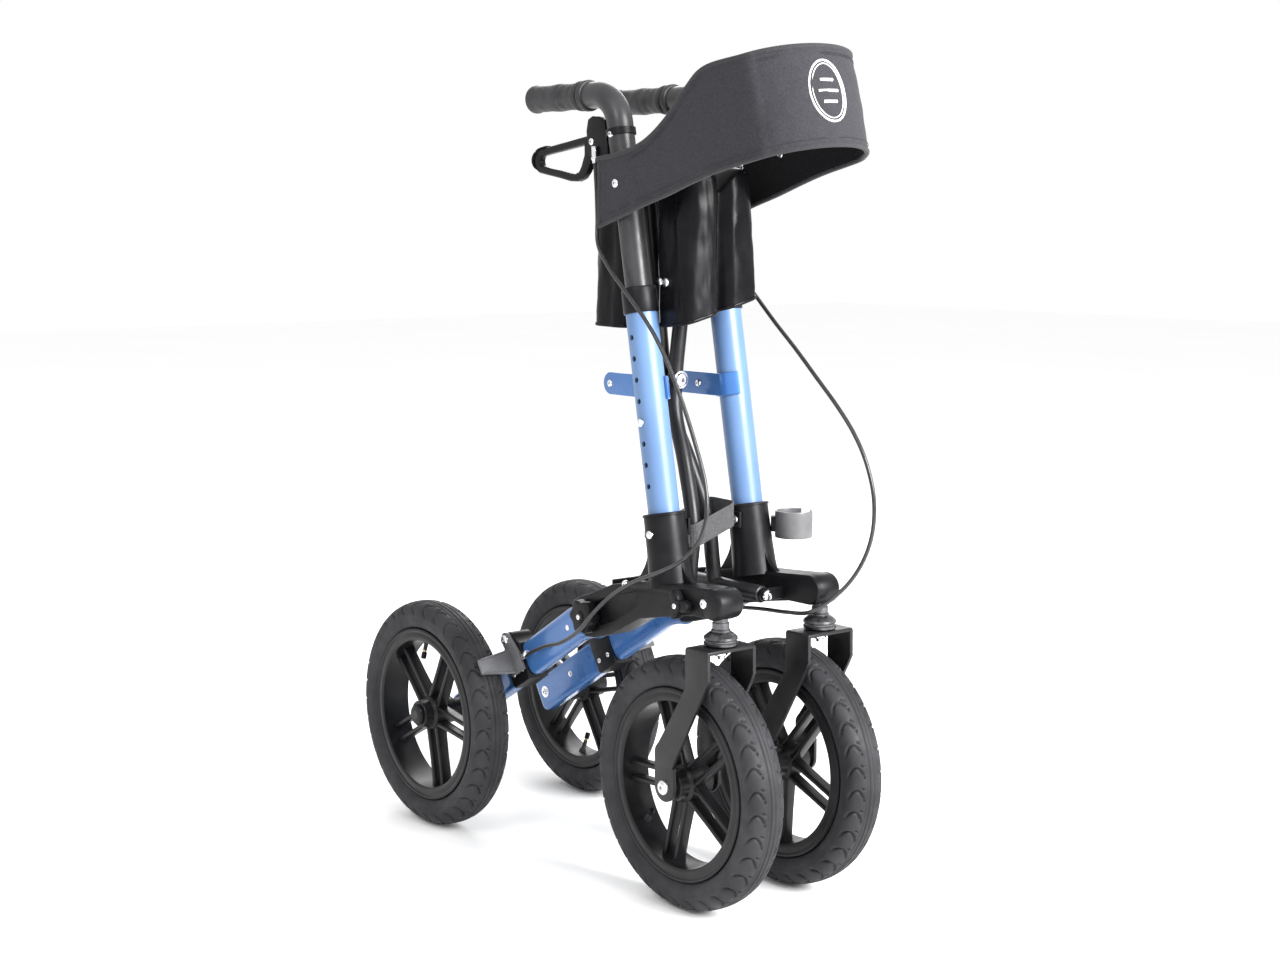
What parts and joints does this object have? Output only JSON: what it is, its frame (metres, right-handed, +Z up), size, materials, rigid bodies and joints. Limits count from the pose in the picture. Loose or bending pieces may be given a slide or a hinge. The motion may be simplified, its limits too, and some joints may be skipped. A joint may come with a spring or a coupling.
{
  "type": "folding four-wheel walker",
  "caption": "Folding all-terrain rollator with air tyres, twin height-adjustable handles, loop brakes, cross brace and a padded backrest strap, shown folded.",
  "frame": {"origin": "centre of the bounding box's floor rectangle, on the ground, with the frame folded", "axes": "+X forward, the way the front casters lead; +Y to the user's left; +Z up"},
  "size_m": [0.8036, 0.3166, 1.004],
  "materials": {
    "blue_paint": "gloss",
    "black_paint": "satin",
    "black_plastic": "matte",
    "rim": "satin",
    "tyre": "matte",
    "grip": "matte",
    "steel": "satin",
    "cable": "gloss",
    "strap_fabric": "matte",
    "webbing": "matte",
    "seat_vinyl": "gloss"
  },
  "bodies": {
    "right_frame": {"right_base_casting": "black_plastic", "right_post": "blue_paint", "right_post_collar": "black_plastic", "right_post_bracket": "blue_paint", "right_leg_front": "blue_paint", "right_leg_band": "black_plastic", "right_leg_rear": "blue_paint", "right_rear_axle": "black_paint", "right_brake_pin": "steel", "right_brake_cable": "cable"},
    "right_handle": {"right_handle_tube": "black_paint", "right_grip": "grip", "right_brake_bracket": "black_plastic", "right_lever_pin": "steel", "backrest_strap": "strap_fabric"},
    "right_lever": {"right_brake_lever": "black_plastic"},
    "right_brake": {"right_brake_arm": "black_paint"},
    "right_rear_wheel": {"right_rear_tyre": "tyre", "right_rear_rim": "rim"},
    "right_caster": {"right_fork": "black_paint", "right_caster_stem": "steel", "right_front_axle": "steel"},
    "right_front_wheel": {"right_front_tyre": "tyre", "right_front_rim": "rim"},
    "right_pin": {"right_height_pin": "steel"},
    "right_leg_clamp": {"right_leg_knob": "black_plastic"},
    "right_wing_screw": {"right_wing_knob": "black_plastic"},
    "right_cross_brace": {"right_brace": "black_paint", "centre_bolt": "steel", "seat_front": "seat_vinyl", "seat_rear": "seat_vinyl", "fold_strap": "webbing"},
    "left_frame": {"left_base_casting": "black_plastic", "left_post": "blue_paint", "left_post_collar": "black_plastic", "left_post_bracket": "blue_paint", "left_leg_front": "blue_paint", "left_leg_band": "black_plastic", "left_leg_rear": "blue_paint", "left_rear_axle": "black_paint", "left_brake_pin": "steel", "left_brake_cable": "cable", "cane_holder": "black_plastic"},
    "left_handle": {"left_handle_tube": "black_paint", "left_grip": "grip", "left_brake_bracket": "black_plastic", "left_lever_pin": "steel"},
    "left_lever": {"left_brake_lever": "black_plastic"},
    "left_brake": {"left_brake_arm": "black_paint"},
    "left_rear_wheel": {"left_rear_tyre": "tyre", "left_rear_rim": "rim"},
    "left_caster": {"left_fork": "black_paint", "left_caster_stem": "steel", "left_front_axle": "steel"},
    "left_front_wheel": {"left_front_tyre": "tyre", "left_front_rim": "rim"},
    "left_pin": {"left_height_pin": "steel"},
    "left_leg_clamp": {"left_leg_knob": "black_plastic"},
    "left_wing_screw": {"left_wing_knob": "black_plastic"},
    "left_cross_brace": {"left_brace": "black_paint"}
  },
  "joints": [
    {"name": "right_height", "type": "slide", "parent": "right_frame", "child": "right_handle", "axis": [-0.1805, 0, 0.9836], "range_m": [-0.0508, 0.1016], "deforming": ["right_brake_cable"]},
    {"name": "fold", "type": "slide", "parent": "right_handle", "child": "left_handle", "axis": [0, 1, 0], "range_m": [0, 0.29], "deforming": ["backrest_strap"]},
    {"name": "left_height", "type": "slide", "parent": "left_handle", "child": "left_frame", "axis": [-0.1805, 0, 0.9836], "range_m": [-0.1016, 0.0508], "deforming": ["left_brake_cable"]},
    {"name": "right_brace_turn", "type": "hinge", "parent": "right_frame", "child": "right_cross_brace", "pos_m": [0.15688, -0.03, 0.366], "axis": [1, 0, 0], "range_deg": [-36.5, 0]},
    {"name": "left_brace_turn", "type": "hinge", "parent": "right_cross_brace", "child": "left_cross_brace", "pos_m": [0.09488, 0, 0.618], "axis": [1, 0, 0], "range_deg": [0, 73], "deforming": ["seat_front", "seat_rear", "fold_strap"]},
    {"name": "right_lever_squeeze", "type": "hinge", "parent": "right_handle", "child": "right_lever", "pos_m": [0.03988, -0.066, 0.905], "axis": [0, 1, 0], "range_deg": [0, 14], "stiffness_Nm_per_rad": 0.6, "springref_deg": -8.59},
    {"name": "right_brake_press", "type": "hinge", "parent": "right_frame", "child": "right_brake", "pos_m": [-0.13241, -0.09, 0.26495], "axis": [0, 1, 0], "range_deg": [0, 5.1]},
    {"name": "right_rear_wheel_spin", "type": "hinge", "parent": "right_frame", "child": "right_rear_wheel", "pos_m": [-0.25012, -0.127, 0.15177], "axis": [0, 1, 0], "continuous": true},
    {"name": "right_caster_swivel", "type": "hinge", "parent": "right_frame", "child": "right_caster", "pos_m": [0.28388, -0.078, 0.35], "axis": [0, 0, 1], "range_deg": [-12, 160]},
    {"name": "right_front_wheel_spin", "type": "hinge", "parent": "right_caster", "child": "right_front_wheel", "pos_m": [0.22588, -0.078, 0.15177], "axis": [0, 1, 0], "continuous": true},
    {"name": "right_height_pin_pull", "type": "slide", "parent": "right_frame", "child": "right_pin", "axis": [0, -1, 0], "range_m": [0, 0.005], "stiffness_N_per_m": 300, "springref_m": -0.004},
    {"name": "right_leg_knob_turn", "type": "hinge", "parent": "right_frame", "child": "right_leg_clamp", "pos_m": [0.05288, -0.1, 0.327], "axis": [0, 1, 0], "range_deg": [0, 360]},
    {"name": "right_wing_knob_turn", "type": "hinge", "parent": "right_frame", "child": "right_wing_screw", "pos_m": [0.23388, -0.098, 0.368], "axis": [0, 1, 0], "range_deg": [0, 360]},
    {"name": "left_lever_squeeze", "type": "hinge", "parent": "left_handle", "child": "left_lever", "pos_m": [0.03988, 0.066, 0.905], "axis": [0, 1, 0], "range_deg": [0, 14], "stiffness_Nm_per_rad": 0.6, "springref_deg": -8.59},
    {"name": "left_brake_press", "type": "hinge", "parent": "left_frame", "child": "left_brake", "pos_m": [-0.13241, 0.09, 0.26495], "axis": [0, 1, 0], "range_deg": [0, 5.1]},
    {"name": "left_rear_wheel_spin", "type": "hinge", "parent": "left_frame", "child": "left_rear_wheel", "pos_m": [-0.25012, 0.127, 0.15177], "axis": [0, 1, 0], "continuous": true},
    {"name": "left_caster_swivel", "type": "hinge", "parent": "left_frame", "child": "left_caster", "pos_m": [0.28388, 0.078, 0.35], "axis": [0, 0, 1], "range_deg": [-160, 12]},
    {"name": "left_front_wheel_spin", "type": "hinge", "parent": "left_caster", "child": "left_front_wheel", "pos_m": [0.22588, 0.078, 0.15177], "axis": [0, 1, 0], "continuous": true},
    {"name": "left_height_pin_pull", "type": "slide", "parent": "left_frame", "child": "left_pin", "axis": [0, 1, 0], "range_m": [0, 0.005], "stiffness_N_per_m": 300, "springref_m": -0.004},
    {"name": "left_leg_knob_turn", "type": "hinge", "parent": "left_frame", "child": "left_leg_clamp", "pos_m": [0.05288, 0.1, 0.327], "axis": [0, 1, 0], "range_deg": [0, 360]},
    {"name": "left_wing_knob_turn", "type": "hinge", "parent": "left_frame", "child": "left_wing_screw", "pos_m": [0.23388, 0.098, 0.368], "axis": [0, 1, 0], "range_deg": [0, 360]}
  ],
  "couplings": [
    {"joint": "left_height", "follows": "right_height", "ratio": -1},
    {"joint": "right_brace_turn", "follows": "fold", "rad_per_m": -2.1853},
    {"joint": "left_brace_turn", "follows": "fold", "rad_per_m": 4.3707},
    {"joint": "right_brake_press", "follows": "right_lever_squeeze", "ratio": 0.36},
    {"joint": "left_brake_press", "follows": "left_lever_squeeze", "ratio": 0.36}
  ]
}
